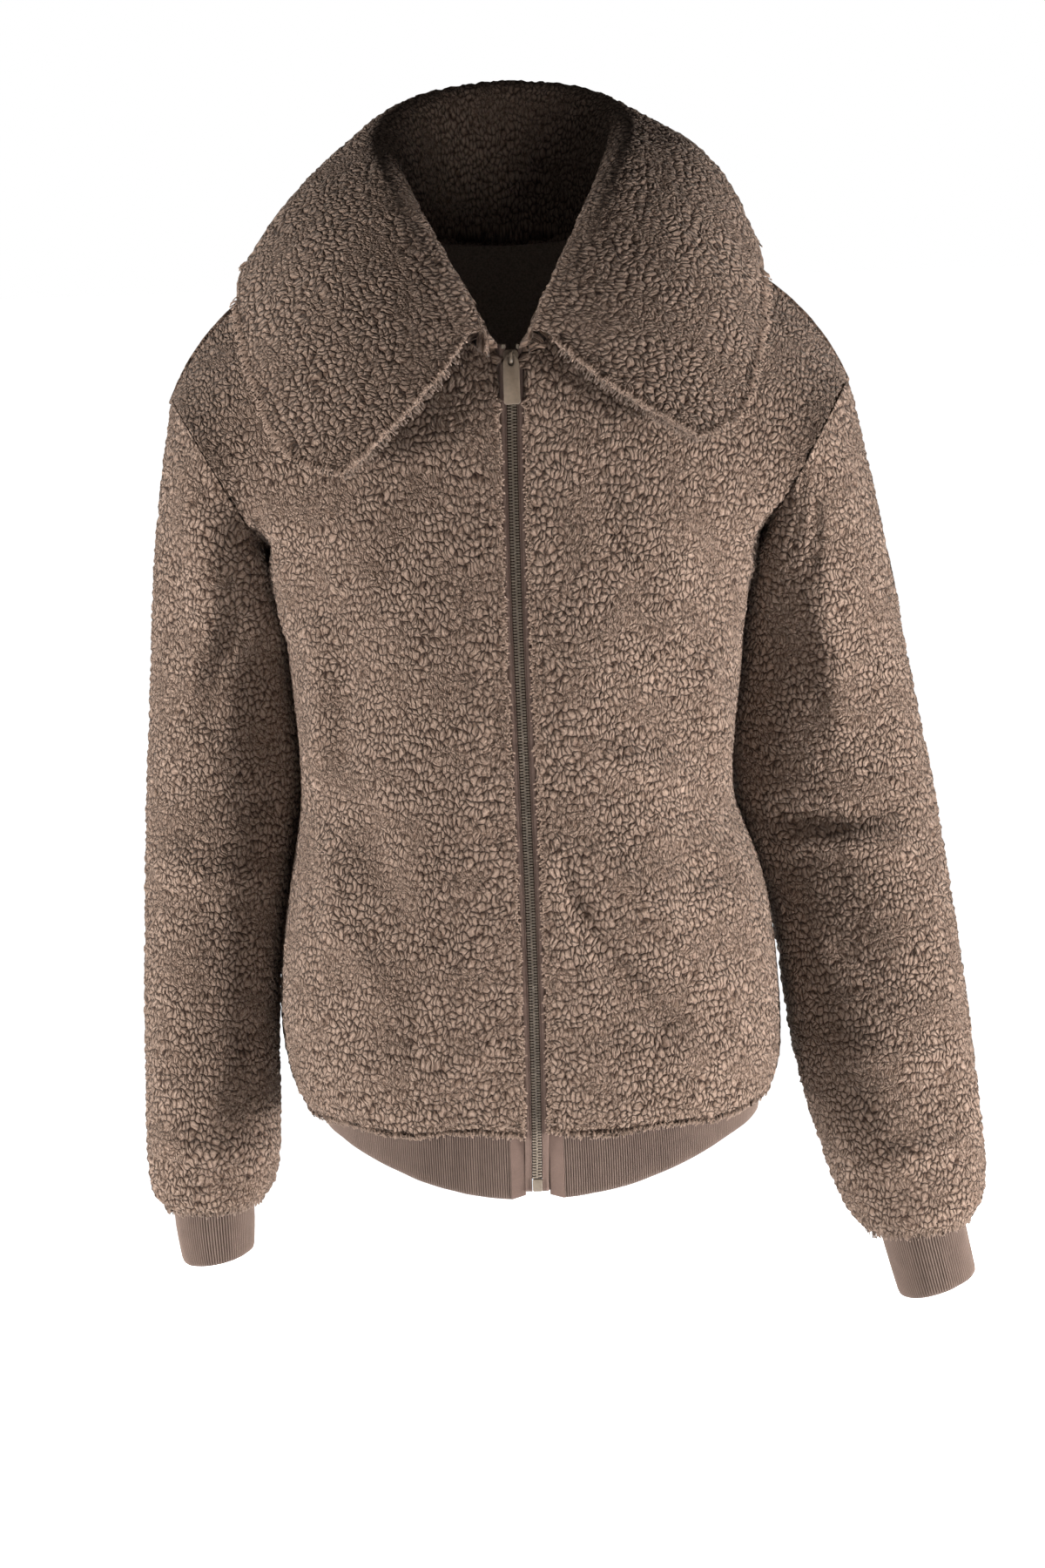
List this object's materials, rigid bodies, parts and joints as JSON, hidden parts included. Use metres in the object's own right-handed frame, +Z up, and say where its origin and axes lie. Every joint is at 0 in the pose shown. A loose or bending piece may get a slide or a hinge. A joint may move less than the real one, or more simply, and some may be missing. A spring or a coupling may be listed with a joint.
{
  "type": "fleece jacket",
  "caption": "Sherpa fleece jacket in worn form, closed by a front zip, with a wide folded collar, knitted rib hem and cuffs, and a slit pocket on one sleeve",
  "frame": {"origin": "on the wearer's neck: middle of the neck base, level with the points where the shoulder seams meet the neck", "axes": "+Z up, the wearer stands along it; -Y is the front with the zip; +X is the wearer's left"},
  "size_m": [0.629, 0.2892, 0.9085],
  "materials": {
    "fleece": "curly taupe sherpa pile, matt, with darker roots",
    "rib_knit": "fine rib knit, matt mauve brown",
    "facing": "smooth flat knit, matt mauve brown, edge stitched",
    "pocket_welt": "smooth woven welt, matt dark brown",
    "zip_tape": "woven herringbone tape, matt",
    "zip_teeth": "moulded, satin khaki grey",
    "zip_metal": "satin khaki beige enamel over metal"
  },
  "bodies": {
    "jacket": {"front_right": "fleece", "front_left": "fleece", "back": "fleece", "sleeve_right": "fleece", "sleeve_left": "fleece", "sleeve_pocket": "pocket_welt", "collar": "fleece", "hem_rib": "rib_knit", "hem_end_right": "facing", "hem_end_left": "facing", "cuff_right": "rib_knit", "cuff_left": "rib_knit", "zip_tape_right": "zip_tape", "zip_tape_left": "zip_tape", "zip_chain": "zip_teeth", "zip_stop_right": "zip_teeth", "zip_stop_left": "zip_teeth", "zip_box": "zip_teeth", "zip_slider": "zip_metal"},
    "pull": {"zip_pull": "zip_metal"}
  },
  "joints": [
    {"name": "pull_swing", "type": "hinge", "parent": "jacket", "child": "pull", "pos_m": [0.0015, -0.11394, -0.06979], "axis": [-1, 0, 0], "range_deg": [0, 150]}
  ]
}
